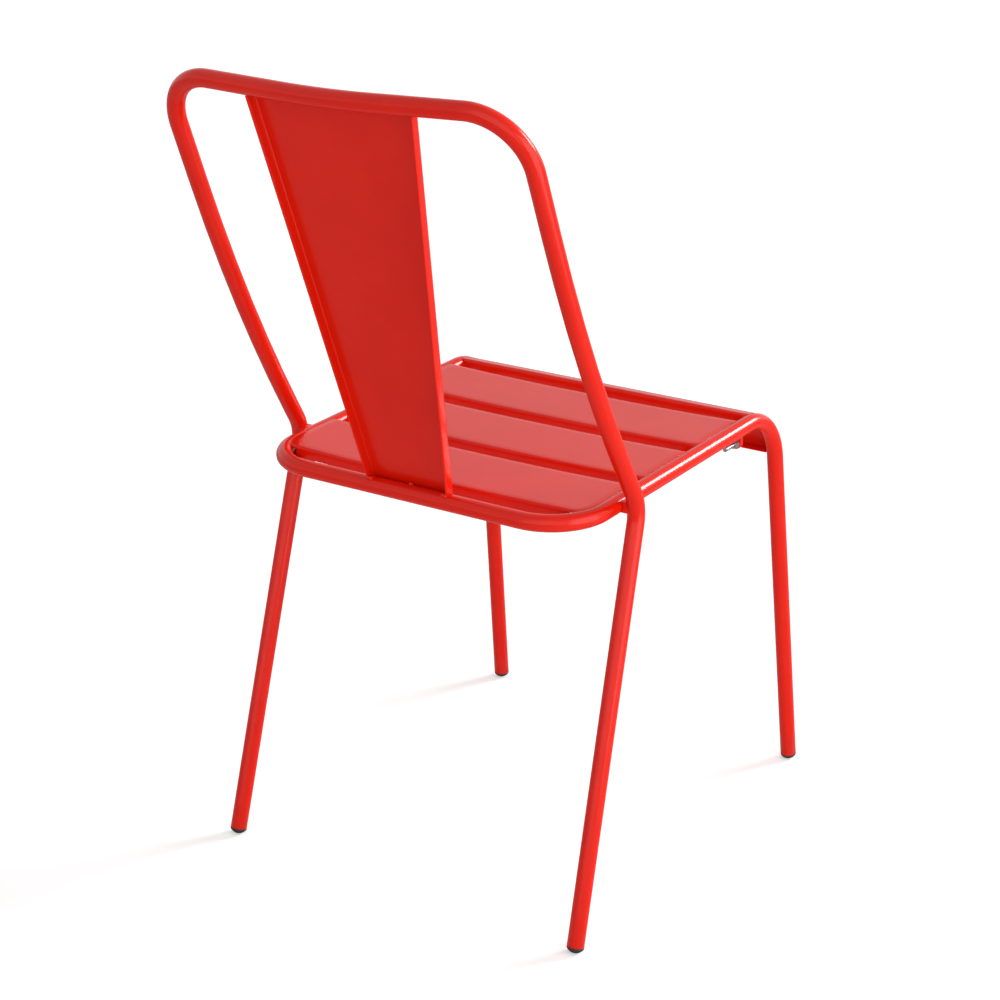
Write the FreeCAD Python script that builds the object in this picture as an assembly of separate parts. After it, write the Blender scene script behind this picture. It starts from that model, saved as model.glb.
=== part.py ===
import FreeCAD, Part
import math
import os

os.makedirs("parts", exist_ok=True)

# Metal bistro chair, in millimetres.
# X runs to the sitter's left, the sitter faces -Y, and Z is up.
# The origin is on the floor, under the middle of the chair's outline.

# Tube
TUBE_OD = 18.0
TUBE_WALL = 1.5

# Seat frame: one tube makes both front legs, both side rails and the rear rail
KNEE_X = 192.4
KNEE_Y = -238.6
KNEE_Z = 449.9
KNEE_BEND_R = 64.1
FRONT_FOOT_SPLAY = 12.4
FRONT_FOOT_RAKE = 56.6
RAIL_LENGTH = 416.0
RAIL_DRAW_IN = 1.6
RAIL_DROP = 10.4
RAIL_REAR_BEND_R = 58.7

# Back frame: one tube makes both rear legs, both uprights and the bowed top rail
WAIST_SETBACK = 323.3
WAIST_RISE = 0.3
WAIST_CLEAR = 1.45
WAIST_BEND_R = 45.6
REAR_FOOT_SPLAY = 9.9
REAR_FOOT_RAKE = 121.6
UPRIGHT_RISE = 159.6
UPRIGHT_LEAN = 97.5
UPRIGHT_DRAW_IN = 3.8
UPRIGHT_BEND_REACH = 152.5
SHOULDER_RISE = 415.4
SHOULDER_LEAN = 200.8
SHOULDER_DRAW_IN = 6.9
SHOULDER_BEND_R = 59.6
TOP_RAIL_BOW = 12.4
TOP_RAIL_BEND_REACH = 51.2

# Feet: domed plastic plugs
PLUG_DOME_R = 10.5
PLUG_COLLAR = 1.5
PLUG_STEM = 14.0
PLUG_STEM_GAP = 0.2

# Seat slats: folded sheet channels, open below
SLAT_SHEET = 1.5
SLAT_GAP = 20.5
SLAT_FLANGE = 12.0
SLAT_BEND_R = 3.0
SLAT_RISE = 8.5
SEAT_REAR_SETBACK = 31.1
SLAT_COUNT = 3
CURVED_SLAT_REACH = 53.5
CURVED_SLAT_SWEEP = 80.0

# Seat bearers: flat bars on edge under the slats
BEARER_INSET = 23.3
BEARER_THICKNESS = 3.0
BEARER_HEIGHT = 14.0
BEARER_REAR_SETBACK = 10.0

# Seat fixings
BOLT_D = 5.0
BOLT_HOLE_GAP = 0.25
BOLT_LENGTH = 30.0
BOLT_HEAD_HEIGHT = 3.5
NUT_WIDTH = 8.0
NUT_HEIGHT = 4.5
WASHER_OD = 10.0
WASHER_HEIGHT = 1.0
FRONT_BOLT_INSET = 14.4
FRONT_BOLT_DROP = 26.9
FRONT_LUG_SETBACK = 1.8
LUG_SHEET = 3.0
LUG_END_R = 6.0
LUG_HEAD_HEIGHT = 9.0
TAB_RISE = 1.0
STUD_INSET = 18.1
STUD_SETBACK = 5.8
STUD_LENGTH = 20.0
STUD_CLEAR = 0.7
GUSSET_SHEET = 2.5
GUSSET_REACH = 20.0
GUSSET_INSET = 28.8

# Back splat: sheet with side flanges folded to the rear
SPLAT_SHEET = 1.5
SPLAT_TOP_HALF_WIDTH = 90.0
SPLAT_FOOT_HALF_WIDTH = 47.0
SPLAT_TOP_FLANGE = 13.6
SPLAT_FOOT_FLANGE = 12.0
SPLAT_FRONT_INSET = 0.7
SPLAT_SPLAY = 1.0
SPLAT_FOLD_R = 2.5

# Welded blocks that join the uprights to the side rails
JOINT_LENGTH = 16.0
JOINT_HEIGHT = 12.0

# Space left for the weld beside a tube
WELD_GAP = 0.3

TUBE_R = TUBE_OD / 2
BORE_R = TUBE_R - TUBE_WALL
UP = FreeCAD.Vector(0, 0, 1)
SIDES = (("left", 1), ("right", -1))


def vec(x, y, z):
    return FreeCAD.Vector(x, y, z)


def mirrored(p):
    return vec(-p.x, p.y, p.z)


def unit(v):
    return v / v.Length


def rounded_route(points, radii):
    """Straight runs joined by tangent arcs: a list of (kind, start, direction, extra)."""
    runs = []
    start = points[0]
    for before, corner, after, radius in zip(points, points[1:], points[2:], radii):
        back = unit(before - corner)
        ahead = unit(after - corner)
        half = back.getAngle(ahead) / 2
        tangent = radius / math.tan(half)
        arc_start = corner + back * tangent
        centre = corner + unit(back + ahead) * (radius / math.sin(half))
        axis = unit((back * -1).cross(ahead))
        turn = math.degrees(math.pi - 2 * half)
        runs.append(("line", start, arc_start - start, None))
        runs.append(("arc", arc_start, back * -1, (centre, axis, turn)))
        start = corner + ahead * tangent
    runs.append(("line", start, points[-1] - start, None))
    return runs


def round_runs(runs, radius):
    """One round bar for each straight run and each arc."""
    bars = []
    for kind, start, direction, arc in runs:
        section = Part.Face(Part.Wire(Part.makeCircle(radius, start, unit(direction))))
        if kind == "line":
            bars.append(section.extrude(direction))
        else:
            centre, axis, turn = arc
            bars.append(section.revolve(centre, axis, turn))
    return bars


def bent_bar(runs, radius):
    """Solid round bar along a whole route."""
    bars = round_runs(runs, radius)
    return bars[0].multiFuse(bars[1:])


def bent_tube(runs):
    """Tube along a whole route; its volume must be section times length."""
    outside = round_runs(runs, TUBE_R)
    inside = round_runs(runs, BORE_R)
    tubes = [bar.cut(bore) for bar, bore in zip(outside, inside)]
    tube = tubes[0].multiFuse(tubes[1:])
    expected = math.pi * (TUBE_R ** 2 - BORE_R ** 2) * route_length(runs)
    if abs(tube.Volume / expected - 1) > 0.001:
        raise ValueError("a bent tube has the wrong volume")
    return tube


def route_length(runs):
    total = 0
    for kind, start, direction, arc in runs:
        if kind == "line":
            total += direction.Length
        else:
            centre, axis, turn = arc
            total += (start - centre).Length * math.radians(turn)
    return total


def export(name, *solids):
    shape = solids[0] if len(solids) == 1 else Part.makeCompound(list(solids))
    shape.exportStep("parts/" + name + ".step")
    print(name, len(shape.Solids), round(shape.Volume), shape.isValid())


# The tube ends a little below the centre of the plug's dome
dome_depth = math.sqrt(PLUG_DOME_R ** 2 - TUBE_R ** 2)
end_drop = dome_depth - PLUG_COLLAR


def tube_end(foot, corner):
    return foot - unit(corner - foot) * end_drop


def radius_for(before, corner, after, reach):
    """Bend radius whose arc starts at a given distance from the corner."""
    half = (before - corner).getAngle(after - corner) / 2
    return reach * math.tan(half)


# Corners of the seat tube, where its straight runs would meet
knee = vec(KNEE_X, KNEE_Y, KNEE_Z)
front_foot = vec(KNEE_X + FRONT_FOOT_SPLAY, KNEE_Y - FRONT_FOOT_RAKE, PLUG_DOME_R)
rail_rear = knee + vec(-RAIL_DRAW_IN, RAIL_LENGTH, -RAIL_DROP)

half_seat = [tube_end(front_foot, knee), knee, rail_rear]
seat_points = half_seat + [mirrored(p) for p in reversed(half_seat)]
seat_radii = [KNEE_BEND_R, RAIL_REAR_BEND_R]
seat_route = rounded_route(seat_points, seat_radii + seat_radii[::-1])

# Corners of the back tube, which passes outside the side rails at the waist
rail_at_waist = knee + (rail_rear - knee) * (WAIST_SETBACK / RAIL_LENGTH)
waist = rail_at_waist + vec(TUBE_OD + WAIST_CLEAR, 0, WAIST_RISE)
rear_foot = vec(waist.x + REAR_FOOT_SPLAY, waist.y + REAR_FOOT_RAKE, PLUG_DOME_R)
upright = waist + vec(-UPRIGHT_DRAW_IN, UPRIGHT_LEAN, UPRIGHT_RISE)
shoulder = waist + vec(-SHOULDER_DRAW_IN, SHOULDER_LEAN, SHOULDER_RISE)

# The top rail bows to the rear, square to the plane of the uprights
lean = unit(shoulder - upright)
bow_direction = unit(vec(0, lean.z, -lean.y))
bow_middle = vec(0, shoulder.y, shoulder.z) + bow_direction * TOP_RAIL_BOW

half_back = [tube_end(rear_foot, waist), waist, upright, shoulder]
back_points = half_back + [bow_middle] + [mirrored(p) for p in reversed(half_back)]
upright_bend_r = radius_for(waist, upright, shoulder, UPRIGHT_BEND_REACH)
top_rail_bend_r = radius_for(shoulder, bow_middle, mirrored(shoulder), TOP_RAIL_BEND_REACH)
back_radii = [WAIST_BEND_R, upright_bend_r, SHOULDER_BEND_R]
back_route = rounded_route(back_points, back_radii + [top_rail_bend_r] + back_radii[::-1])

export("back_tube", bent_tube(back_route))
export("seat_tube", bent_tube(seat_route))

# Solid bars a little thicker than the tubes trim the pieces that fit against them
seat_trim = bent_bar(seat_route, TUBE_R + WELD_GAP)
back_trim = bent_bar(back_route, TUBE_R + WELD_GAP)


# Feet
def foot_plug(foot, corner):
    axis = unit(corner - foot)
    seat = tube_end(foot, corner)
    dome = Part.makeSphere(PLUG_DOME_R, foot)
    below_seat = Part.makeCylinder(TUBE_R, PLUG_DOME_R, seat, axis * -1)
    stem = Part.makeCylinder(BORE_R - PLUG_STEM_GAP, PLUG_STEM, seat, axis)
    return dome.common(below_seat).fuse(stem).removeSplitter()


for side, sign in SIDES:
    for end, foot, corner in (("rear", rear_foot, waist), ("front", front_foot, knee)):
        if sign < 0:
            foot = mirrored(foot)
            corner = mirrored(corner)
        export("foot_plug_%s_%s" % (end, side), foot_plug(foot, corner))


# Seat plane: it follows the side rails and drops to the rear
seat_along = unit(vec(0, RAIL_LENGTH, -RAIL_DROP))
seat_up = vec(0, -seat_along.z, seat_along.y)


def on_seat(x, along, up):
    """Point at distance along the side rails from the knee and height above their axes."""
    middle = vec(x, KNEE_Y, KNEE_Z)
    return middle + seat_along * along + seat_up * up


def along_of(y):
    return (y - KNEE_Y) / seat_along.y


def seat_block(x0, x1, along0, along1, up0, up1):
    corners = [on_seat(x0, along0, up0), on_seat(x0, along1, up0)]
    corners += [on_seat(x0, along1, up1), on_seat(x0, along0, up1)]
    side = Part.Face(Part.makePolygon(corners + corners[:1]))
    return side.extrude(vec(x1 - x0, 0, 0))


def line(a, b):
    return Part.makeLine(a, b)


def arc(a, centre, radius, b):
    middle = centre + unit((a - centre) + (b - centre)) * radius
    return Part.Arc(a, middle, b).toShape()


def channel_section(x, front, rear):
    """Outline of a flat slat: flange, rounded fold, top, rounded fold, flange."""
    top = SLAT_RISE
    low = top - SLAT_FLANGE
    r = SLAT_BEND_R
    s = SLAT_SHEET
    p = [on_seat(x, front, low), on_seat(x, front, top - r), on_seat(x, front + r, top)]
    p += [on_seat(x, rear - r, top), on_seat(x, rear, top - r), on_seat(x, rear, low)]
    q = [on_seat(x, rear - s, low), on_seat(x, rear - s, top - r)]
    q += [on_seat(x, rear - r, top - s), on_seat(x, front + r, top - s)]
    q += [on_seat(x, front + s, top - r), on_seat(x, front + s, low)]
    front_centre = on_seat(x, front + r, top - r)
    rear_centre = on_seat(x, rear - r, top - r)
    edges = [line(p[0], p[1]), arc(p[1], front_centre, r, p[2]), line(p[2], p[3])]
    edges += [arc(p[3], rear_centre, r, p[4]), line(p[4], p[5]), line(p[5], q[0])]
    edges += [line(q[0], q[1]), arc(q[1], rear_centre, r - s, q[2]), line(q[2], q[3])]
    edges += [arc(q[3], front_centre, r - s, q[4]), line(q[4], q[5]), line(q[5], p[0])]
    return Part.Face(Part.Wire(edges))


slat_half_width = max(knee.x, rail_rear.x)
seat_rear_edge = along_of(rail_rear.y) - SEAT_REAR_SETBACK
slat_pitch = (seat_rear_edge - CURVED_SLAT_REACH) / SLAT_COUNT
slat_depth = slat_pitch - SLAT_GAP


def flat_slat(rear):
    section = channel_section(-slat_half_width, rear - slat_depth, rear)
    bar = section.extrude(vec(2 * slat_half_width, 0, 0))
    return bar.cut(seat_trim)


# The rear slat's corners clear the bends of the tube, and its rear flange stops at the studs
stud_x = rail_rear.x - STUD_INSET
rear_flange_end = stud_x - BOLT_D / 2 - STUD_CLEAR
rear_slat = flat_slat(seat_rear_edge)
flange_foot = SLAT_RISE - SLAT_FLANGE - 1
flange_head = SLAT_RISE - SLAT_BEND_R
for sign in (1, -1):
    notch = seat_block(sign * rear_flange_end, sign * slat_half_width,
                       seat_rear_edge - 2 * SLAT_BEND_R, seat_rear_edge + 1,
                       flange_foot, flange_head)
    rear_slat = rear_slat.cut(notch)


def largest_solid(shape):
    return max(shape.Solids, key=lambda solid: solid.Volume)


rear_slat = largest_solid(rear_slat)
for number, name in enumerate(("rear", "middle", "front")[:SLAT_COUNT]):
    slat = rear_slat if number == 0 else flat_slat(seat_rear_edge - number * slat_pitch)
    export("seat_slat_" + name, largest_solid(slat))

# The foremost slat curls down over the knees of the frame, round the same centres
leg_down = unit(vec(0, front_foot.y - knee.y, front_foot.z - knee.z))
knee_half = leg_down.getAngle(seat_along) / 2
curl_centre = on_seat(0, KNEE_BEND_R / math.tan(knee_half), -KNEE_BEND_R)
curl_r = KNEE_BEND_R + SLAT_RISE
curl_start = math.asin((curl_centre - on_seat(0, CURVED_SLAT_REACH, 0)).dot(seat_along) / curl_r)
curl_end = math.radians(CURVED_SLAT_SWEEP)


def curl_frame(angle):
    """Outward and onward directions at an angle from straight up towards the front."""
    outward = seat_up * math.cos(angle) - seat_along * math.sin(angle)
    onward = seat_up * -math.sin(angle) - seat_along * math.cos(angle)
    return outward, onward


def curl_edge(x, angle, way):
    """Points of one folded edge, outer face first, from the curl to the flange foot."""
    r = SLAT_BEND_R
    s = SLAT_SHEET
    outward, onward = curl_frame(angle - way * math.asin(r / (curl_r - r)))
    centre = curl_centre + vec(x, 0, 0) + outward * (curl_r - r)
    side = onward * way
    foot = outward * (r - SLAT_FLANGE)
    outer = [centre + outward * r, centre + side * r, centre + side * r + foot]
    inner = [centre + outward * (r - s), centre + side * (r - s)]
    inner += [centre + side * (r - s) + foot]
    return centre, outer, inner


def curl_section(x):
    """Outline of the curved slat: an arc with a folded flange at each edge."""
    c0, out0, in0 = curl_edge(x, curl_start, -1)
    c1, out1, in1 = curl_edge(x, curl_end, 1)
    outward, onward = curl_frame((curl_start + curl_end) / 2)
    middle = curl_centre + vec(x, 0, 0)
    crown = Part.Arc(out0[0], middle + outward * curl_r, out1[0]).toShape()
    under = Part.Arc(in1[0], middle + outward * (curl_r - SLAT_SHEET), in0[0]).toShape()
    inner_r = SLAT_BEND_R - SLAT_SHEET
    edges = [line(out0[2], out0[1]), arc(out0[1], c0, SLAT_BEND_R, out0[0]), crown]
    edges += [arc(out1[0], c1, SLAT_BEND_R, out1[1]), line(out1[1], out1[2])]
    edges += [line(out1[2], in1[2]), line(in1[2], in1[1])]
    edges += [arc(in1[1], c1, inner_r, in1[0]), under]
    edges += [arc(in0[0], c0, inner_r, in0[1]), line(in0[1], in0[2])]
    edges += [line(in0[2], out0[2])]
    return Part.Face(Part.Wire(edges))


curl = curl_section(-slat_half_width).extrude(vec(2 * slat_half_width, 0, 0))
export("seat_slat_curved", largest_solid(curl.cut(seat_trim)))

# Bearers and fixings of the seat
bearer_top = SLAT_RISE - SLAT_FLANGE
front_lug_y = on_seat(0, CURVED_SLAT_REACH, 0).y + FRONT_LUG_SETBACK
bearer_x = rail_rear.x - BEARER_INSET
bearer_front = along_of(front_lug_y)
bearer_rear = seat_rear_edge - BEARER_REAR_SETBACK
front_bolt_x = knee.x - FRONT_BOLT_INSET
front_bolt_z = knee.z - FRONT_BOLT_DROP
hole_r = BOLT_D / 2 + BOLT_HOLE_GAP
bearer_half = BEARER_THICKNESS / 2


def upright_plate(x0, x1, y0, y1, z0, z1):
    return Part.makeBox(abs(x1 - x0), y1 - y0, z1 - z0, vec(min(x0, x1), y0, z0))


def hexagon_prism(width, height, base, axis):
    """Hexagonal head or nut, standing on base along axis."""
    across = unit(axis.cross(vec(1, 0, 0)))
    beside = axis.cross(across)
    reach = width / math.sqrt(3)
    rim = []
    for k in range(7):
        a = math.radians(60 * k)
        rim.append(base + across * (reach * math.cos(a)) + beside * (reach * math.sin(a)))
    return Part.Face(Part.makePolygon(rim)).extrude(axis * height)


def ring(outer_r, inner_r, height, base, axis):
    outer = Part.makeCylinder(outer_r, height, base, axis)
    return outer.cut(Part.makeCylinder(inner_r, height, base, axis))


REARWARD = vec(0, 1, 0)
lug_room = bearer_top - WELD_GAP
above_lugs = seat_block(-knee.x, knee.x, 0, seat_rear_edge, lug_room, knee.z)
bolt_start_y = front_lug_y - LUG_SHEET
nut_base_y = front_lug_y + BEARER_THICKNESS
bolts = []
nuts = []
washers = []
studs = []
stud_nuts = []
for side, sign in SIDES:
    bolt_at = vec(sign * front_bolt_x, 0, front_bolt_z)
    through = Part.makeCylinder(hole_r, 60, bolt_at + REARWARD * (front_lug_y - 30), REARWARD)

    # Lug welded under the side rail: a strap with a round end, wider at its head
    tip = bolt_at + REARWARD * bolt_start_y
    inside_x = sign * (front_bolt_x - LUG_END_R)
    outside_x = sign * (front_bolt_x + LUG_END_R)
    lug = Part.makeCylinder(LUG_END_R, LUG_SHEET, tip, REARWARD)
    lug = lug.fuse(upright_plate(inside_x, outside_x, bolt_start_y, front_lug_y,
                                 front_bolt_z, knee.z))
    lug_head_z = KNEE_Z - TUBE_R / 2 - LUG_HEAD_HEIGHT
    lug = lug.fuse(upright_plate(inside_x, sign * knee.x, bolt_start_y, front_lug_y,
                                 lug_head_z, knee.z))
    lug = lug.cut(above_lugs).cut(seat_trim).cut(through).removeSplitter()
    export("front_lug_" + side, min(lug.Solids, key=lambda s: s.BoundBox.ZMin))

    # Bearer: flat bar on edge, its front end bent outward into a tab for the bolt
    inner_x = sign * (bearer_x - bearer_half)
    outer_x = sign * (bearer_x + bearer_half)
    tab_rear_y = front_lug_y + BEARER_THICKNESS
    bar = seat_block(inner_x, outer_x, bearer_front, bearer_rear,
                     bearer_top - BEARER_HEIGHT, bearer_top)
    tab = upright_plate(inner_x, outside_x, front_lug_y, tab_rear_y,
                        front_bolt_z + TAB_RISE, knee.z)
    tab_end = bolt_at + REARWARD * front_lug_y
    tab = tab.fuse(Part.makeCylinder(LUG_END_R, BEARER_THICKNESS, tab_end, REARWARD))
    lug_side = upright_plate(-knee.x, knee.x, bolt_start_y, front_lug_y, 0, knee.z)
    bearer = bar.fuse(tab.cut(above_lugs)).cut(lug_side).cut(seat_trim).cut(through)
    export("seat_bearer_" + side, largest_solid(bearer.removeSplitter()))

    head = hexagon_prism(NUT_WIDTH, BOLT_HEAD_HEIGHT,
                         bolt_at + REARWARD * (bolt_start_y - BOLT_HEAD_HEIGHT), REARWARD)
    shank = Part.makeCylinder(BOLT_D / 2, BOLT_LENGTH,
                              bolt_at + REARWARD * bolt_start_y, REARWARD)
    bolts.append(head.fuse(shank))
    washer_base = bolt_at + REARWARD * nut_base_y
    washers.append(ring(WASHER_OD / 2, hole_r, WASHER_HEIGHT, washer_base, REARWARD))
    nut_base = washer_base + REARWARD * WASHER_HEIGHT
    nut = hexagon_prism(NUT_WIDTH, NUT_HEIGHT, nut_base, REARWARD)
    nuts.append(nut.cut(Part.makeCylinder(hole_r, NUT_HEIGHT, nut_base, REARWARD)))

    # Gusset welded into the rear corner of the tube, under the rear slat's corner
    stud_along = seat_rear_edge - STUD_SETBACK
    gusset_top = bearer_top - WELD_GAP
    reach = GUSSET_REACH * sign
    plate = seat_block(sign * (rail_rear.x - GUSSET_INSET), sign * stud_x + reach,
                       stud_along - GUSSET_REACH / 2, stud_along + GUSSET_REACH,
                       gusset_top - GUSSET_SHEET, gusset_top)
    stud_top = on_seat(sign * stud_x, stud_along, SLAT_RISE - SLAT_SHEET)
    down = seat_up * -1
    stud_hole = Part.makeCylinder(hole_r, 60, stud_top, down)
    bearer_room = seat_block(-(bearer_x + bearer_half + 1), bearer_x + bearer_half + 1,
                             0, bearer_rear + 1, -KNEE_Z, 0)
    plate = plate.cut(seat_trim).cut(stud_hole).cut(bearer_room)
    inside = [s for s in plate.Solids if abs(s.CenterOfMass.x) < stud_x + TUBE_R]
    export("rear_gusset_" + side, max(inside, key=lambda s: s.Volume))

    studs.append(Part.makeCylinder(BOLT_D / 2, STUD_LENGTH, stud_top, down))
    under = SLAT_RISE - SLAT_SHEET - gusset_top + GUSSET_SHEET
    washer_base = stud_top + down * under
    washers.append(ring(WASHER_OD / 2, hole_r, WASHER_HEIGHT, washer_base, down))
    nut_base = washer_base + down * WASHER_HEIGHT
    nut = hexagon_prism(NUT_WIDTH, NUT_HEIGHT, nut_base, down)
    stud_nuts.append(nut.cut(Part.makeCylinder(hole_r, NUT_HEIGHT, nut_base, down)))

export("front_bolts", *bolts)
export("front_nuts", *nuts)
export("fixing_washers", *washers)
export("rear_studs", *studs)
export("rear_nuts", *stud_nuts)

# Back splat: stands on the rear rail and ends under the top rail
rear_rail = vec(0, rail_rear.y, rail_rear.z)
splat_up = unit(bow_middle - rear_rail)
splat_out = vec(0, splat_up.z, -splat_up.y)
splat_foot = rear_rail - splat_out * (TUBE_R - SPLAT_FRONT_INSET)
splat_height = (bow_middle - rear_rail).Length


def between(foot, head, height):
    return foot + (head - foot) * height / splat_height


def splat_rim(inset, foot_depth, head_depth, splay):
    """Outline across the splat: its depth may grow and its width may splay."""
    rim = []
    for side, height in ((1, 0), (1, splat_height), (-1, splat_height), (-1, 0)):
        half = between(SPLAT_FOOT_HALF_WIDTH, SPLAT_TOP_HALF_WIDTH, height)
        depth = between(foot_depth, head_depth, height)
        x = side * (half - inset + splay)
        rim.append(splat_foot + vec(x, 0, 0) + splat_up * height + splat_out * depth)
    return Part.makePolygon(rim + rim[:1])


def splat_block(inset, near, past):
    """Tapered slab from depth near to the flange edges, or past them."""
    front = splat_rim(inset, near, near, 0)
    rear = splat_rim(inset, SPLAT_FOOT_FLANGE + past, SPLAT_TOP_FLANGE + past, SPLAT_SPLAY)
    return Part.makeLoft([front, rear], True, True)


def side_folds(block, depth):
    """The two long edges of a slab that lie at a given depth."""
    folds = []
    for edge in block.Edges:
        a = edge.Vertexes[0].Point
        b = edge.Vertexes[1].Point
        flat = abs((a - splat_foot).dot(splat_out) - depth) < 0.01
        flat = flat and abs((b - splat_foot).dot(splat_out) - depth) < 0.01
        if flat and abs((b - a).dot(splat_up)) > splat_height / 2:
            folds.append(edge)
    return folds


outside = splat_block(0, 0, 0)
outside = outside.makeFillet(SPLAT_FOLD_R, side_folds(outside, 0))
inside = splat_block(SPLAT_SHEET, SPLAT_SHEET, 1)
inside = inside.makeFillet(SPLAT_FOLD_R - SPLAT_SHEET, side_folds(inside, SPLAT_SHEET))
splat = outside.cut(inside).cut(seat_trim).cut(back_trim)
export("back_splat", largest_solid(splat))

# Welded blocks in the valley between each upright and its side rail
for side, sign in SIDES:
    mid_y = waist.y + TUBE_R / 2
    rail_z = on_seat(0, along_of(mid_y), 0).z
    block = upright_plate(sign * rail_rear.x, sign * waist.x,
                          mid_y - JOINT_LENGTH / 2, mid_y + JOINT_LENGTH / 2,
                          rail_z - JOINT_HEIGHT / 2, rail_z + JOINT_HEIGHT / 2)
    block = block.cut(seat_trim).cut(back_trim)
    export("upright_joint_" + side, largest_solid(block))
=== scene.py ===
import math

import bpy
import numpy as np
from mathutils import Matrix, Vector


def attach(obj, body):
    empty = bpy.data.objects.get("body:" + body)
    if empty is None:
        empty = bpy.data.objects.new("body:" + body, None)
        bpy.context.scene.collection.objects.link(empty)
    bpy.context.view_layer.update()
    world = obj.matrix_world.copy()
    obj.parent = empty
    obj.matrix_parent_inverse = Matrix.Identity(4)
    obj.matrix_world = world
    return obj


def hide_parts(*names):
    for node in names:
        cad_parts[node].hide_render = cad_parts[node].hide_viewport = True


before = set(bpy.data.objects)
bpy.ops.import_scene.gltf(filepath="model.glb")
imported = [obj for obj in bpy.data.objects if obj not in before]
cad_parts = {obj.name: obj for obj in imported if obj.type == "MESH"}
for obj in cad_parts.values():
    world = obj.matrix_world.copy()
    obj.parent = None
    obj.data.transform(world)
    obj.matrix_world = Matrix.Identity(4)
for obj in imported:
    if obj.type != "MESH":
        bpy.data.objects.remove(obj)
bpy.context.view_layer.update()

# ---------------------------------------------------------------------------
# Back frame.
# One bent steel tube, 18 mm across, makes both rear legs, both uprights and
# the top rail, which bows gently to the rear. It is powder coated red.
# ---------------------------------------------------------------------------
tube_radius = 0.009
tube_bore = 0.0075
dome_radius = 0.0105
tube_end_drop = 0.003908


def rounded_centreline(corners, radii, arc_step=math.radians(3), run_step=0.03):
    """Points on straight runs joined by tangent arcs.

    At each corner the arc starts radius / tan(half angle) away, and its points are
    centre + radius * (cos t * from_centre + sin t * onward).
    """
    corners = [np.array(c, float) for c in corners]
    pieces = []
    start = corners[0]
    for before, corner, after, radius in zip(corners, corners[1:], corners[2:], radii):
        back = (before - corner) / np.linalg.norm(before - corner)
        ahead = (after - corner) / np.linalg.norm(after - corner)
        half = math.acos(np.clip(back @ ahead, -1, 1)) / 2
        tangent = radius / math.tan(half)
        middle = (back + ahead) / np.linalg.norm(back + ahead)
        centre = corner + middle * radius / math.sin(half)
        first = corner + back * tangent
        count = max(2, int(np.linalg.norm(first - start) / run_step))
        share = np.linspace(0, 1, count, endpoint=False)[:, None]
        pieces.append(start + share * (first - start))
        turn = math.pi - 2 * half
        count = max(6, int(turn / arc_step))
        t = np.linspace(0, turn, count, endpoint=False)[:, None]
        from_centre = (first - centre) / radius
        pieces.append(centre + radius * (np.cos(t) * from_centre - np.sin(t) * back))
        start = corner + ahead * tangent
    count = max(2, int(np.linalg.norm(corners[-1] - start) / run_step))
    pieces.append(start + np.linspace(0, 1, count)[:, None] * (corners[-1] - start))
    return np.concatenate(pieces)


def path_frames(points, guide):
    """Unit tangent, side and rise at each point; the side leans towards the guide vector."""
    tangent = np.gradient(points, axis=0)
    tangent /= np.linalg.norm(tangent, axis=1)[:, None]
    side = guide - (tangent @ guide)[:, None] * tangent
    side /= np.linalg.norm(side, axis=1)[:, None]
    return tangent, side, np.cross(tangent, side)


def grid_piece(name, grid, close_rows, close_columns, end_faces=()):
    """Mesh of a grid of points (rows, columns, 3): one quad between each four neighbours.

    end_faces are further faces that close the grid's open ends.
    """
    rows, columns = grid.shape[:2]
    r = np.arange(rows if close_rows else rows - 1)[:, None]
    c = np.arange(columns if close_columns else columns - 1)[None, :]
    r2, c2 = (r + 1) % rows, (c + 1) % columns
    quads = np.stack([r * columns + c, r * columns + c2, r2 * columns + c2, r2 * columns + c], -1)
    mesh = bpy.data.meshes.new(name)
    faces = quads.reshape(-1, 4).tolist() + list(end_faces)
    mesh.from_pydata(grid.reshape(-1, 3).tolist(), [], faces)
    mesh.polygons.foreach_set("use_smooth", np.full(len(mesh.polygons), True))
    mesh.update()
    piece = bpy.data.objects.new(name, mesh)
    bpy.context.scene.collection.objects.link(piece)
    return piece


def hollow_tube(name, centreline, guide, segments=72):
    """Tube as one closed grid: out along the outside, round the softened end, back in the bore.

    Each ring is centre + radius * (cos u * side + sin u * rise).
    """
    tangent, side, rise = path_frames(centreline, guide)
    soft = 0.0004
    first, last = centreline[0], centreline[-1]
    centres = np.concatenate([[first], [first + tangent[0] * soft], centreline[1:-1],
                              [last - tangent[-1] * soft], [last]])
    radii = np.full(len(centres), tube_radius)
    radii[[0, -1]] -= soft
    side = np.concatenate([side[:1], side, side[-1:]])
    rise = np.concatenate([rise[:1], rise, rise[-1:]])
    centres = np.concatenate([centres, centres[::-1]])
    radii = np.concatenate([radii, np.full(len(radii), tube_bore)])
    side = np.concatenate([side, side[::-1]])[:, None, :]
    rise = np.concatenate([rise, rise[::-1]])[:, None, :]
    u = np.linspace(0, 2 * np.pi, segments, endpoint=False)[None, :, None]
    grid = centres[:, None, :] + radii[:, None, None] * (np.cos(u) * side + np.sin(u) * rise)
    return grid_piece(name, grid, True, True)


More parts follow.
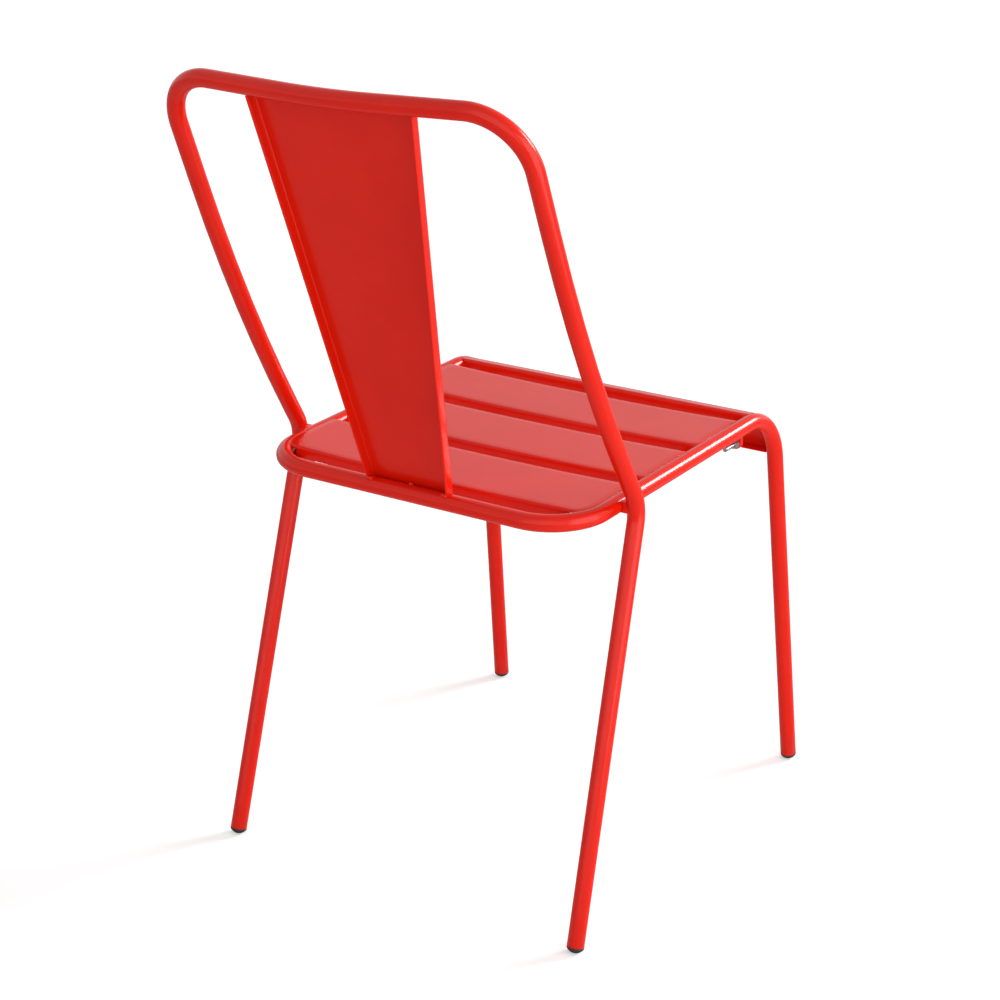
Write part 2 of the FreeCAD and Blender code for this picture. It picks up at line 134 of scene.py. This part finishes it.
def red_powder_coat(name, grain=900.0, peel=0.00002):
    """Glossy red powder coat: a thin cloudy drift of colour, orange peel and fine grain."""
    material = bpy.data.materials.new(name)
    material.use_nodes = True
    nodes, links = material.node_tree.nodes, material.node_tree.links
    shader = nodes["Principled BSDF"]
    shader.inputs["Metallic"].default_value = 0.0
    shader.inputs["IOR"].default_value = 1.38
    shader.inputs["Coat Weight"].default_value = 0.0
    place = nodes.new("ShaderNodeTexCoord")

    cloud = nodes.new("ShaderNodeTexNoise")
    cloud.inputs["Scale"].default_value = 14.0
    cloud.inputs["Detail"].default_value = 4.0
    tint = nodes.new("ShaderNodeValToRGB")
    tint.color_ramp.elements[0].position = 0.35
    tint.color_ramp.elements[0].color = (0.75, 0.0100, 0.0012, 1)
    tint.color_ramp.elements[1].position = 0.65
    tint.color_ramp.elements[1].color = (0.79, 0.0125, 0.0018, 1)
    links.new(place.outputs["Object"], cloud.inputs["Vector"])
    links.new(cloud.outputs["Fac"], tint.inputs["Fac"])
    links.new(tint.outputs["Color"], shader.inputs["Base Color"])

    sheen_drift = nodes.new("ShaderNodeTexNoise")
    sheen_drift.inputs["Scale"].default_value = 60.0
    sheen_drift.inputs["Detail"].default_value = 3.0
    gloss = nodes.new("ShaderNodeMapRange")
    gloss.inputs["From Min"].default_value = 0.3
    gloss.inputs["From Max"].default_value = 0.7
    gloss.inputs["To Min"].default_value = 0.18
    gloss.inputs["To Max"].default_value = 0.24
    links.new(place.outputs["Object"], sheen_drift.inputs["Vector"])
    links.new(sheen_drift.outputs["Fac"], gloss.inputs["Value"])
    links.new(gloss.outputs["Result"], shader.inputs["Roughness"])

    orange_peel = nodes.new("ShaderNodeTexNoise")
    orange_peel.inputs["Scale"].default_value = grain
    orange_peel.inputs["Detail"].default_value = 2.0
    relief = nodes.new("ShaderNodeBump")
    relief.inputs["Strength"].default_value = 0.2
    relief.inputs["Distance"].default_value = peel
    links.new(place.outputs["Object"], orange_peel.inputs["Vector"])
    links.new(orange_peel.outputs["Fac"], relief.inputs["Height"])
    links.new(relief.outputs["Normal"], shader.inputs["Normal"])
    return material


tube_red = red_powder_coat("tube_red_powder_coat")

# Corners of the half frame on the sitter's left, from the foot up to the top rail.
rear_foot_at = np.array([0.22051, 0.2063, dome_radius])
waist_at = np.array([0.21061, 0.0847, 0.44212])
upright_at = np.array([0.20681, 0.1822, 0.60172])
shoulder_at = np.array([0.20371, 0.2855, 0.85752])
upright_lean = (shoulder_at - upright_at) / np.linalg.norm(shoulder_at - upright_at)
bow_way = np.array([0.0, upright_lean[2], -upright_lean[1]])
bow_way /= np.linalg.norm(bow_way)
top_bow = 0.0124
bow_bend = 0.8412
top_middle = np.array([0.0, shoulder_at[1], shoulder_at[2]]) + bow_way * top_bow
leg_up = (waist_at - rear_foot_at) / np.linalg.norm(waist_at - rear_foot_at)
rear_end_at = rear_foot_at - tube_end_drop * leg_up
other_side = np.array([-1.0, 1.0, 1.0])
left_half = [rear_end_at, waist_at, upright_at, shoulder_at]
back_corners = left_half + [top_middle] + [p * other_side for p in left_half[::-1]]
back_bends = [0.0456, 1.8466, 0.0596, bow_bend, 0.0596, 1.8466, 0.0456]
back_line = rounded_centreline(back_corners, back_bends)
back_frame = hollow_tube("back_frame_tube", back_line, bow_way)
back_frame.data.materials.append(tube_red)
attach(back_frame, "root")
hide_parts("back_tube")

# ---------------------------------------------------------------------------
# Seat frame.
# A second bent tube makes the front legs, the side rails and the rear rail.
# The rear corners are bent flat, and the slats nest between the rails.
# ---------------------------------------------------------------------------
knee_at = np.array([0.1924, -0.2386, 0.4499])
front_foot_at = np.array([0.2048, -0.2952, dome_radius])
rail_rear_at = np.array([0.1908, 0.1774, 0.4395])
knee_bend = 0.0641
corner_bend = 0.0587
leg_up = (knee_at - front_foot_at) / np.linalg.norm(knee_at - front_foot_at)
front_end_at = front_foot_at - tube_end_drop * leg_up
left_half = [front_end_at, knee_at, rail_rear_at]
seat_corners = left_half + [p * other_side for p in left_half[::-1]]
seat_line = rounded_centreline(seat_corners, [knee_bend, corner_bend, corner_bend, knee_bend])
seat_frame = hollow_tube("seat_frame_tube", seat_line, np.array([1.0, 1.0, 1.0]) / math.sqrt(3))
seat_frame.data.materials.append(tube_red)
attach(seat_frame, "root")
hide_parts("seat_tube")

# ---------------------------------------------------------------------------
# Foot plugs.
# Moulded black plastic, pushed into each tube end: a stem in the bore, a thin
# collar under the tube's rim and a domed foot that rests on the floor.
# ---------------------------------------------------------------------------
plug_black = bpy.data.materials.new("moulded_black_plastic")
plug_black.use_nodes = True
nodes, links = plug_black.node_tree.nodes, plug_black.node_tree.links
shader = nodes["Principled BSDF"]
place = nodes.new("ShaderNodeTexCoord")
scuff = nodes.new("ShaderNodeTexNoise")
scuff.inputs["Scale"].default_value = 260.0
scuff.inputs["Detail"].default_value = 5.0
tint = nodes.new("ShaderNodeValToRGB")
tint.color_ramp.elements[0].position = 0.3
tint.color_ramp.elements[0].color = (0.016, 0.016, 0.017, 1)
tint.color_ramp.elements[1].position = 0.75
tint.color_ramp.elements[1].color = (0.032, 0.031, 0.031, 1)
dull = nodes.new("ShaderNodeMapRange")
dull.inputs["To Min"].default_value = 0.42
dull.inputs["To Max"].default_value = 0.68
relief = nodes.new("ShaderNodeBump")
relief.inputs["Strength"].default_value = 0.4
relief.inputs["Distance"].default_value = 0.00006
links.new(place.outputs["Object"], scuff.inputs["Vector"])
links.new(scuff.outputs["Fac"], tint.inputs["Fac"])
links.new(tint.outputs["Color"], shader.inputs["Base Color"])
links.new(scuff.outputs["Fac"], dull.inputs["Value"])
links.new(dull.outputs["Result"], shader.inputs["Roughness"])
links.new(scuff.outputs["Fac"], relief.inputs["Height"])
links.new(relief.outputs["Normal"], shader.inputs["Normal"])


def turned_piece(name, profile, base, axis, segments=64):
    """Surface of revolution: each profile point (radius, height) sweeps a ring round the axis."""
    axis = axis / np.linalg.norm(axis)
    side = np.cross(axis, [1.0, 0.0, 0.0] if abs(axis[0]) < 0.9 else [0.0, 1.0, 0.0])
    side /= np.linalg.norm(side)
    rise = np.cross(axis, side)
    u = np.linspace(0, 2 * np.pi, segments, endpoint=False)[None, :, None]
    radius = np.array([p[0] for p in profile])[:, None, None]
    height = np.array([p[1] for p in profile])[:, None, None]
    grid = base + height * axis + radius * (np.cos(u) * side + np.sin(u) * rise)
    rings, columns = grid.shape[:2]
    first_cap = list(range(columns))[::-1]
    last_cap = [(rings - 1) * columns + k for k in range(columns)]
    return grid_piece(name, grid, False, True, [first_cap, last_cap])


# Profile of a plug about its leg, as radius and height above the dome's centre.
collar_low = -math.sqrt(dome_radius ** 2 - tube_radius ** 2)
dome = [(tube_radius * k / 14.0, -math.sqrt(dome_radius ** 2 - (tube_radius * k / 14.0) ** 2))
        for k in range(14) if k] + [(tube_radius - 0.00015, collar_low - 0.00025)]
dome = [(0.0002, -dome_radius)] + dome
collar_top = -tube_end_drop - 0.0001
plug_profile = dome + [(tube_radius, collar_low), (tube_radius, collar_top - 0.0004),
                       (tube_radius - 0.0003, collar_top), (0.0076, collar_top),
                       (0.0073, collar_top + 0.0003), (0.0073, collar_top + 0.0135),
                       (0.0068, collar_top + 0.0140), (0.0002, collar_top + 0.0140)]
for end, foot, above in (("rear", rear_foot_at, waist_at), ("front", front_foot_at, knee_at)):
    for side_name, side_sign in (("left", 1.0), ("right", -1.0)):
        turn_side = np.array([side_sign, 1.0, 1.0])
        plug = turned_piece("domed_plug_%s_%s" % (end, side_name), plug_profile,
                            foot * turn_side, (above - foot) * turn_side)
        plug.data.materials.append(plug_black)
        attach(plug, "root")
        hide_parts("foot_plug_%s_%s" % (end, side_name))

# ---------------------------------------------------------------------------
# Seat slats.
# Steel sheet, 1.5 mm thick, folded down at the front and rear edges and cut to
# nest against the side rails. The foremost slat rolls down over the front bends.
# ---------------------------------------------------------------------------
sheet = 0.0015
fold = 0.003
flange = 0.012
slat_rise = 0.0085
rail_clear = 0.0093
slat_red = red_powder_coat("sheet_red_powder_coat", grain=1100.0, peel=0.000016)
rail_way = rail_rear_at - knee_at
seat_on = np.array([0.0, rail_way[1], rail_way[2]])
seat_on /= np.linalg.norm(seat_on)
seat_rise = np.array([0.0, -seat_on[2], seat_on[1]])
seat_start = np.array([0.0, knee_at[1], knee_at[2]])
rear_corner_along = (rail_rear_at - knee_at) @ seat_on
corner_centre_x = rail_rear_at[0] - corner_bend
corner_centre_along = rear_corner_along - corner_bend


def rail_side_limit(along, height):
    """How far a point of a slat may reach sideways before it meets the rail or its corner."""
    chord = np.sqrt(np.maximum(rail_clear ** 2 - height ** 2, 0))
    axis_x = knee_at[0] + (rail_rear_at[0] - knee_at[0]) * along / rear_corner_along
    straight = axis_x - chord
    reach = (corner_bend - chord) ** 2 - np.maximum(along - corner_centre_along, 0) ** 2
    cornered = corner_centre_x + np.sqrt(np.maximum(reach, 0))
    return np.where(along > corner_centre_along, cornered, straight)


def folded_edge(direction, corner, steps=6):
    """Outer and inner points of a fold, from the flange foot up: (along, height) pairs."""
    a = np.linspace(0, np.pi / 2, steps)
    foot = np.array([[corner, slat_rise - flange]])
    outer = np.stack([corner + direction * fold * (1 - np.cos(a)),
                      slat_rise - fold * (1 - np.sin(a))], 1)
    inner_r = fold - sheet
    inner_corner = corner + direction * sheet
    inner = np.stack([inner_corner + direction * inner_r * (1 - np.cos(a)),
                      slat_rise - sheet - inner_r * (1 - np.sin(a))], 1)
    inner_foot = np.array([[inner_corner, slat_rise - flange]])
    return np.concatenate([foot, outer]), np.concatenate([inner_foot, inner])


dish_depth = 0.0028
dish_flat = 0.030
dish_radius = 4.493


def dished(x):
    """Drop of a flat slat at x: level in the middle, then a wide arc up to the rails."""
    past = np.maximum(np.abs(x) - dish_flat, 0)
    return np.minimum(dish_radius - np.sqrt(dish_radius ** 2 - past ** 2), dish_depth) - dish_depth


def sheet_end_faces(rows, columns):
    """Quads that close both ends of a grid of outer points followed by inner points."""
    k = np.arange(columns // 2 - 1)
    quads = np.stack([k, k + 1, columns - 2 - k, columns - 1 - k], 1)
    return quads[:, ::-1].tolist() + (quads + (rows - 1) * columns).tolist()


def soften_cut_edges(piece):
    """Round the sharp sheared edges of a sheet piece a little."""
    soften = piece.modifiers.new("cut_edges", "BEVEL")
    soften.width = 0.0003
    soften.segments = 2
    soften.limit_method = "ANGLE"
    soften.angle_limit = math.radians(50)


def sheet_strip(name, outer, inner, outer_ends, inner_ends, dish=0.0, stations=41):
    """Folded sheet: paired outer and inner points carried across the seat.

    outer and inner are (n, 3) points at x = 0, and the ends say how far each reaches.
    dish is 1 for a slat that hangs a little in the middle and 0 for a level one.
    """
    ring = np.concatenate([outer, inner[::-1]])
    ends = np.concatenate([outer_ends, inner_ends[::-1]])
    across = np.linspace(-1, 1, stations)
    grid = np.repeat(ring[None, :, :], stations, 0)
    grid[:, :, 0] = across[:, None] * ends[None, :]
    grid += dish * dished(grid[:, :, :1]) * seat_rise
    piece = grid_piece(name, grid, False, True, sheet_end_faces(stations, len(ring)))
    soften_cut_edges(piece)
    return piece


seat_rear_edge = rear_corner_along - 0.0311
curved_rear = 0.0535
slat_gap = 0.0205
slat_pitch = (seat_rear_edge - curved_rear) / 3
rear_flange_end = 0.1695
for number, slat_name in enumerate(("rear", "middle", "front")):
    rear_edge = seat_rear_edge - number * slat_pitch
    front_edge = rear_edge - slat_pitch + slat_gap
    front_out, front_in = folded_edge(1.0, front_edge)
    rear_out, rear_in = folded_edge(-1.0, rear_edge)
    fill = np.linspace(0, 1, 14)[1:-1, None]
    top_out = front_out[-1] + fill * (rear_out[-1] - front_out[-1])
    top_in = front_in[-1] + fill * (rear_in[-1] - front_in[-1])
    out2 = np.concatenate([front_out, top_out, rear_out[::-1]])
    in2 = np.concatenate([front_in, top_in, rear_in[::-1]])
    out_ends = rail_side_limit(out2[:, 0], out2[:, 1])
    in_ends = rail_side_limit(in2[:, 0], in2[:, 1])
    if number == 0:
        flange_top = slat_rise - fold * 0.98
        out_flange = (out2[:, 1] < flange_top) & (out2[:, 0] > rear_edge - fold)
        in_flange = (in2[:, 1] < flange_top) & (in2[:, 0] > rear_edge - fold)
        out_ends = np.where(out_flange, rear_flange_end, out_ends)
        in_ends = np.where(in_flange, rear_flange_end, in_ends)
    out3 = seat_start + out2[:, :1] * seat_on + out2[:, 1:] * seat_rise
    in3 = seat_start + in2[:, :1] * seat_on + in2[:, 1:] * seat_rise
    slat = sheet_strip("folded_slat_" + slat_name, out3, in3, out_ends, in_ends, dish=1.0)
    slat.data.materials.append(slat_red)
    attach(slat, "root")
    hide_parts("seat_slat_" + slat_name)

# The curved slat follows the front bends about the same centre, a little larger.
leg_way = np.array([0.0, front_foot_at[1] - knee_at[1], front_foot_at[2] - knee_at[2]])
leg_way /= np.linalg.norm(leg_way)
knee_reach = knee_bend / math.tan(math.acos(leg_way @ seat_on) / 2)
roll_centre = seat_start + seat_on * knee_reach - seat_rise * knee_bend
roll_radius = knee_bend + slat_rise
roll_start = math.asin((knee_reach - curved_rear) / roll_radius)
roll_end = math.radians(80.0)


def rolled_point(radius, angle):
    """Point about the roll's centre at an angle from straight up towards the front."""
    angle = np.asarray(angle)[..., None]
    radius = np.asarray(radius)[..., None]
    return roll_centre + radius * (np.cos(angle) * seat_rise - np.sin(angle) * seat_on)


def rolled_fold(angle, way, depth, steps=6):
    """Flange foot, then the fold, in radius and angle; depth 0 is the outer face."""
    a = np.linspace(0, np.pi / 2, steps)
    r = fold - depth
    centre_r = roll_radius - fold
    turn = angle - way * math.asin(fold / centre_r)
    centre = rolled_point(centre_r, turn)
    outward = (centre - roll_centre) / centre_r
    onward = -math.sin(turn) * seat_rise - math.cos(turn) * seat_on
    curve = centre + r * (np.cos(a)[:, None] * onward * way + np.sin(a)[:, None] * outward)
    foot = curve[:1] + outward * (fold - flange)
    return np.concatenate([foot, curve]), turn


def knee_side_limit(points):
    """Sideways reach of the curved slat: the tube's circle about its bent axis."""
    spoke = points - roll_centre
    radius = np.linalg.norm(spoke, axis=1)
    angle = np.arctan2(-(spoke @ seat_on), spoke @ seat_rise)
    chord = np.sqrt(np.maximum(rail_clear ** 2 - (radius - knee_bend) ** 2, 0))
    spread = np.clip((angle - math.radians(40)) / math.radians(44), 0, 1) * 0.0008
    return knee_at[0] - 0.00018 + spread - chord


skins = []
for depth in (0.0, sheet):
    first_fold, first_turn = rolled_fold(roll_start, -1, depth)
    last_fold, last_turn = rolled_fold(roll_end, 1, depth)
    turns = np.linspace(first_turn, last_turn, 48)[1:-1]
    crown = rolled_point(np.full(len(turns), roll_radius - depth), turns)
    skins.append(np.concatenate([first_fold, crown, last_fold[::-1]]))
curved = sheet_strip("folded_slat_curved", skins[0][::-1], skins[1][::-1],
                     knee_side_limit(skins[0])[::-1], knee_side_limit(skins[1])[::-1])
curved.data.materials.append(slat_red)
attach(curved, "root")
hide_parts("seat_slat_curved")

# ---------------------------------------------------------------------------
# Back splat.
# One tapered steel sheet with its side edges folded to the rear. It stands on
# the rear rail, runs up to the top rail and is welded to both.
# ---------------------------------------------------------------------------
rear_rail = np.array([0.0, rail_rear_at[1], rail_rear_at[2]])
frame_lean = (top_middle - rear_rail) / np.linalg.norm(top_middle - rear_rail)
frame_front = np.array([0.0, -frame_lean[2], frame_lean[1]])
splat_face = rear_rail + frame_front * tube_radius
splat_head = top_middle + frame_front * (tube_radius + 0.0034)
splat_length = np.linalg.norm(splat_head - splat_face)
splat_up = (splat_head - splat_face) / splat_length
splat_out = np.array([0.0, splat_up[2], -splat_up[1]])
foot_half_width = 0.0488
head_half_width = 0.0939
splat_flange = 0.0121
splat_fold = 0.0025


def splat_profile(height, depth_in):
    """Half profile of the splat at a height, outer face at depth_in 0: (x, depth) pairs.

    The sheet runs flat, turns through a fold and ends in a flange that splays more higher up.
    """
    share = height / splat_length
    half = foot_half_width + (head_half_width - foot_half_width) * share - depth_in
    deep = splat_flange
    splay = (-0.0005 + 0.0021 * share) / deep
    r = splat_fold - depth_in
    a = np.linspace(0, np.pi / 2, 7)
    fold_x = half - r + r * np.sin(a)
    fold_d = depth_in + r - r * np.cos(a)
    fold_x = fold_x + splay * fold_d
    flat = np.linspace(0, half - r, 12)[:-1]
    edge = np.linspace(depth_in + r, deep, 4)[1:]
    x = np.concatenate([flat, fold_x, half + splay * edge])
    d = np.concatenate([np.full(len(flat), depth_in), fold_d, edge])
    return np.stack([np.concatenate([-x[:0:-1], x]), np.concatenate([d[:0:-1], d])], 1)


def top_rail_axis(x):
    """Place of the top rail's axis at x: two straight halves joined by the middle arc."""
    from_middle = np.abs(x)
    slope = top_bow / shoulder_at[0]
    arc_end = 0.0511
    rise = np.sqrt(np.maximum(bow_bend ** 2 - from_middle ** 2, 0))
    rise = rise - math.sqrt(bow_bend ** 2 - arc_end ** 2)
    bow = np.where(from_middle > arc_end, top_bow - slope * from_middle,
                   top_bow - slope * arc_end + rise)
    return np.array([0.0, shoulder_at[1], shoulder_at[2]]) + bow[..., None] * bow_way


def splat_skin(depth_in, rows=40):
    """Grid of one face of the splat, each column trimmed where it meets the rails."""
    share = np.linspace(0, 1, rows)
    low_profile = splat_profile(0.0, depth_in)
    high_profile = splat_profile(splat_length, depth_in)
    axis = rear_rail - splat_face
    lift = low_profile[:, 1] - axis @ splat_out
    low = axis @ splat_up + np.sqrt(np.maximum(rail_clear ** 2 - lift ** 2, 0))
    axis = top_rail_axis(high_profile[:, 0]) - splat_face
    lift = high_profile[:, 1] - axis @ splat_out
    high = axis @ splat_up - np.sqrt(np.maximum(rail_clear ** 2 - lift ** 2, 0))
    corner = top_rail_axis(np.array([head_half_width]))[0] - splat_face
    setback = corner @ splat_out - sheet
    sheet_top = corner @ splat_up - math.sqrt(rail_clear ** 2 - setback ** 2)
    high = np.where(high_profile[:, 1] < splat_fold, np.minimum(high, sheet_top), high)
    height = low + share[:, None] * (high - low)
    blend = (height / splat_length)[..., None]
    flat = low_profile * (1 - blend) + high_profile * blend
    grid = splat_face + height[..., None] * splat_up + flat[..., 1:] * splat_out
    grid[..., 0] = flat[..., 0]
    return grid


outer_skin = splat_skin(0.0)
inner_skin = splat_skin(sheet)
splat_grid = np.concatenate([outer_skin, inner_skin[:, ::-1]], 1)
rows, columns = splat_grid.shape[:2]
splat = grid_piece("folded_back_splat", splat_grid, False, True, sheet_end_faces(rows, columns))
soften_cut_edges(splat)
splat.data.materials.append(slat_red)
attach(splat, "root")
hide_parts("back_splat")

# ---------------------------------------------------------------------------
# Weld beads.
# Short runs of filler metal that hold the splat's corners to both rails, with
# one tack under the middle of the sheet. They are coated with the frame.
# ---------------------------------------------------------------------------
def weld_bead(name, start, end, radius, ripple=0.0013):
    """Bead from start to end, with s from -1 to 1 along it.

    Each ring's radius is radius * sqrt(1 - s^6) * (1 + 0.1 * sin(2 pi * run / ripple)).
    """
    length = np.linalg.norm(end - start)
    s = np.linspace(-0.999, 0.999, 41)
    rings = radius * np.sqrt(1 - s ** 6) * (1 + 0.1 * np.sin(np.pi * (s + 1) * length / ripple))
    profile = np.stack([rings, s * (length / 2 + radius * 0.5)], 1)
    bead = turned_piece(name, profile, (start + end) / 2, end - start, segments=20)
    bead.data.materials.append(weld_red)
    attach(bead, "root")


def splat_place(x, height, depth):
    """Point of the splat: face + height * up + depth * out, at x across the chair."""
    return splat_face + height * splat_up + depth * splat_out + np.array([x, 0.0, 0.0])


def rail_gap(axis, depth):
    """Height at which a rail's round side passes a depth of the splat, measured from its axis."""
    lift = depth - (axis - splat_face) @ splat_out
    return math.sqrt(tube_radius ** 2 - lift ** 2)


weld_red = red_powder_coat("weld_red_powder_coat", grain=500.0, peel=0.00006)
bead_radius = 0.0022
for side_name, side_sign in (("left", 1.0), ("right", -1.0)):
    for end, rail, half, up_sign in (
            ("foot", rear_rail, foot_half_width, 1.0),
            ("head", top_rail_axis(np.array([head_half_width]))[0], head_half_width, -1.0)):
        rail_height = (rail - splat_face) @ splat_up
        if end == "foot":
            places = [(half - 0.0055, 0.0112), (half - 0.0005, 0.0112)]
        else:
            places = [(half - 0.0070, 0.0030), (half - 0.0020, 0.0045)]
        ends = [splat_place(side_sign * x,
                            rail_height + up_sign * (rail_gap(rail, depth) + 0.0006), depth)
                for x, depth in places]
        weld_bead("weld_bead_%s_%s" % (end, side_name), ends[0], ends[1], bead_radius)
tack_depth = 0.0034
rail_height = (rear_rail - splat_face) @ splat_up
tack_height = rail_height + rail_gap(rear_rail, tack_depth) + 0.0004
weld_bead("weld_tack_middle", splat_place(-0.0015, tack_height, tack_depth),
          splat_place(0.0015, tack_height, tack_depth), bead_radius)

# ---------------------------------------------------------------------------
# Bearers, lugs, gussets and joint blocks.
# Cut from flat steel bar, bent or welded on, and powder coated with the frame.
# ---------------------------------------------------------------------------
bracket_red = red_powder_coat("bracket_red_powder_coat", grain=700.0, peel=0.00003)
for node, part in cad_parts.items():
    if node.startswith(("seat_bearer", "front_lug", "rear_gusset", "upright_joint")):
        part.data.materials.clear()
        part.data.materials.append(bracket_red)

# ---------------------------------------------------------------------------
# Fixings.
# Zinc plated screws, nuts and washers, made on a lathe or pressed from wire.
# ---------------------------------------------------------------------------
zinc = bpy.data.materials.new("zinc_plated_steel")
zinc.use_nodes = True
nodes, links = zinc.node_tree.nodes, zinc.node_tree.links
shader = nodes["Principled BSDF"]
shader.inputs["Metallic"].default_value = 1.0
place = nodes.new("ShaderNodeTexCoord")
stain = nodes.new("ShaderNodeTexNoise")
stain.inputs["Scale"].default_value = 320.0
stain.inputs["Detail"].default_value = 6.0
tint = nodes.new("ShaderNodeValToRGB")
tint.color_ramp.elements[0].color = (0.42, 0.43, 0.44, 1)
tint.color_ramp.elements[1].color = (0.74, 0.74, 0.73, 1)
dull = nodes.new("ShaderNodeMapRange")
dull.inputs["To Min"].default_value = 0.22
dull.inputs["To Max"].default_value = 0.45
relief = nodes.new("ShaderNodeBump")
relief.inputs["Strength"].default_value = 0.3
relief.inputs["Distance"].default_value = 0.00004
links.new(place.outputs["Object"], stain.inputs["Vector"])
links.new(stain.outputs["Fac"], tint.inputs["Fac"])
links.new(tint.outputs["Color"], shader.inputs["Base Color"])
links.new(stain.outputs["Fac"], dull.inputs["Value"])
links.new(dull.outputs["Result"], shader.inputs["Roughness"])
links.new(stain.outputs["Fac"], relief.inputs["Height"])
links.new(relief.outputs["Normal"], shader.inputs["Normal"])
for node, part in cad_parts.items():
    if node in ("front_bolts", "front_nuts", "rear_studs", "rear_nuts", "fixing_washers"):
        part.data.materials.clear()
        part.data.materials.append(zinc)

# ---------------------------------------------------------------------------
# Studio.
# A pale floor and a white room, a window behind on the right, a lit wall on the
# right, weak fill light, and the camera where the photograph was taken from.
# ---------------------------------------------------------------------------
scene = bpy.context.scene
scene.view_settings.view_transform = "Standard"

floor_mesh = bpy.data.meshes.new("studio_floor")
reach = 30
floor_corners = [(-reach, -reach, 0), (reach, -reach, 0), (reach, reach, 0), (-reach, reach, 0)]
floor_mesh.from_pydata(floor_corners, [], [(0, 1, 2, 3)])
floor = bpy.data.objects.new("studio_floor", floor_mesh)
scene.collection.objects.link(floor)
pale = bpy.data.materials.new("pale_floor")
pale.use_nodes = True
nodes, links = pale.node_tree.nodes, pale.node_tree.links
nodes.clear()
out = nodes.new("ShaderNodeOutputMaterial")
matt = nodes.new("ShaderNodeBsdfDiffuse")
glow = nodes.new("ShaderNodeEmission")
seen = nodes.new("ShaderNodeLightPath")
shade = nodes.new("ShaderNodeMapRange")
shade.inputs["To Min"].default_value = 0.8
shade.inputs["To Max"].default_value = 0.45
level = nodes.new("ShaderNodeMath")
level.operation = "MULTIPLY"
level.inputs[1].default_value = 0.42
both = nodes.new("ShaderNodeAddShader")
links.new(seen.outputs["Is Glossy Ray"], shade.inputs["Value"])
links.new(shade.outputs["Result"], matt.inputs["Color"])
links.new(seen.outputs["Is Camera Ray"], level.inputs[0])
links.new(level.outputs[0], glow.inputs["Strength"])
links.new(matt.outputs[0], both.inputs[0])
links.new(glow.outputs[0], both.inputs[1])
links.new(both.outputs[0], out.inputs["Surface"])
floor_mesh.materials.append(pale)

world = bpy.data.worlds.new("white_studio")
scene.world = world
world.use_nodes = True
nodes, links = world.node_tree.nodes, world.node_tree.links
nodes.clear()
out = nodes.new("ShaderNodeOutputWorld")
room = nodes.new("ShaderNodeBackground")
room.inputs["Color"].default_value = (1, 1, 1, 1)
seen = nodes.new("ShaderNodeLightPath")
around = nodes.new("ShaderNodeTexCoord")
parts = nodes.new("ShaderNodeSeparateXYZ")
height = nodes.new("ShaderNodeMapRange")
height.inputs["To Min"].default_value = 1.0
height.inputs["To Max"].default_value = 0.4
gloss_mix = nodes.new("ShaderNodeMix")
gloss_mix.inputs["A"].default_value = 0.31
camera_mix = nodes.new("ShaderNodeMix")
camera_mix.inputs["B"].default_value = 1.0
links.new(around.outputs["Generated"], parts.inputs["Vector"])
links.new(parts.outputs["Z"], height.inputs["Value"])
links.new(seen.outputs["Is Glossy Ray"], gloss_mix.inputs["Factor"])
links.new(height.outputs["Result"], gloss_mix.inputs["B"])
links.new(seen.outputs["Is Camera Ray"], camera_mix.inputs["Factor"])
links.new(gloss_mix.outputs["Result"], camera_mix.inputs["A"])
links.new(camera_mix.outputs["Result"], room.inputs["Strength"])
links.new(room.outputs[0], out.inputs["Surface"])


def soft_sun(name, towards, strength, angle):
    """Broad even light from the direction towards, spread over angle degrees."""
    lamp = bpy.data.lights.new(name, "SUN")
    lamp.energy = strength
    lamp.angle = math.radians(angle)
    holder = bpy.data.objects.new(name, lamp)
    holder.rotation_euler = Vector(towards).to_track_quat("Z", "Y").to_euler()
    scene.collection.objects.link(holder)


soft_sun("window_right", (-0.45, -0.80, 0.42), 2.2, 20)
soft_sun("room_fill", (-0.30, 0.90, 0.25), 0.75, 70)
soft_sun("ceiling", (0.0, 0.1, 1.0), 0.35, 100)

# The pale wall on the right is near, so its light falls off across the chair.
wall = bpy.data.lights.new("wall_right", "AREA")
wall.shape = "RECTANGLE"
wall.size = 1.4
wall.size_y = 2.0
wall.energy = 19.0
wall_holder = bpy.data.objects.new("wall_right", wall)
wall_holder.location = (-1.55, 0.2, 0.7)
wall_holder.rotation_euler = Vector((-1, 0, 0)).to_track_quat("Z", "Y").to_euler()
scene.collection.objects.link(wall_holder)

camera = bpy.data.cameras.new("photo_camera")
camera.lens = 79.48
camera.sensor_width = 36.0
camera.clip_end = 100.0
viewer = bpy.data.objects.new("photo_camera", camera)
turn, tip, away = math.radians(213.7802), math.radians(20.64028), 2.43429
aim = Vector((0.0389206, -0.0437, 0.3550193))
back = Vector((math.sin(turn) * math.cos(tip),
               -math.cos(turn) * math.cos(tip),
               math.sin(tip)))
viewer.location = aim + back * away
viewer.rotation_euler = (-back).to_track_quat("-Z", "Y").to_euler()
scene.collection.objects.link(viewer)
scene.camera = viewer
